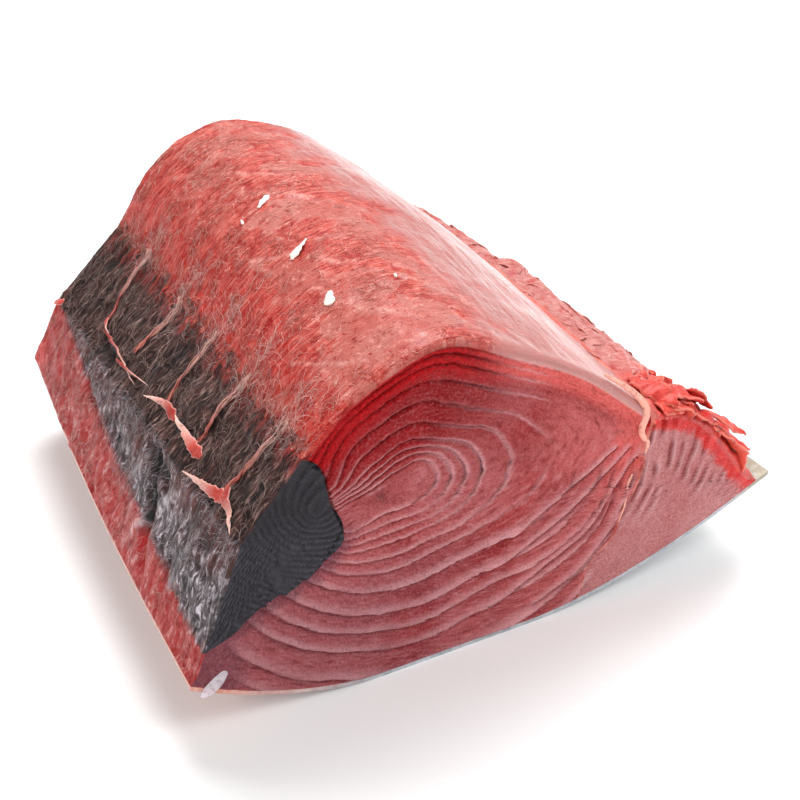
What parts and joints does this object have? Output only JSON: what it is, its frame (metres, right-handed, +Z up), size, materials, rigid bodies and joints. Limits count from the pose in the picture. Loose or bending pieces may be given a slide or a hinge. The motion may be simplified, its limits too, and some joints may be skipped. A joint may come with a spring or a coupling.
{
  "type": "tuna loin",
  "caption": "Block of raw tuna loin lying on its skin, with ringed red muscle on the cut faces, a band of dark muscle along one side and torn flesh at the fin edge.",
  "frame": {"origin": "on the floor under the middle of the block's bounding box", "axes": "+X across the cut face from the heel by the dark muscle to the fin edge, +Y along the fish away from the cut face in the picture, +Z up from the skin"},
  "size_m": [0.2, 0.1854, 0.1109],
  "materials": {
    "red_muscle": "moist",
    "dark_muscle": "moist",
    "fin_muscle": "moist",
    "septum": "satin",
    "skin": "satin"
  },
  "bodies": {
    "root": {"red_loin": "red_muscle", "bloodline": "dark_muscle", "cream_septum": "septum", "fin_muscle": "fin_muscle", "skin": "skin"}
  },
  "joints": []
}
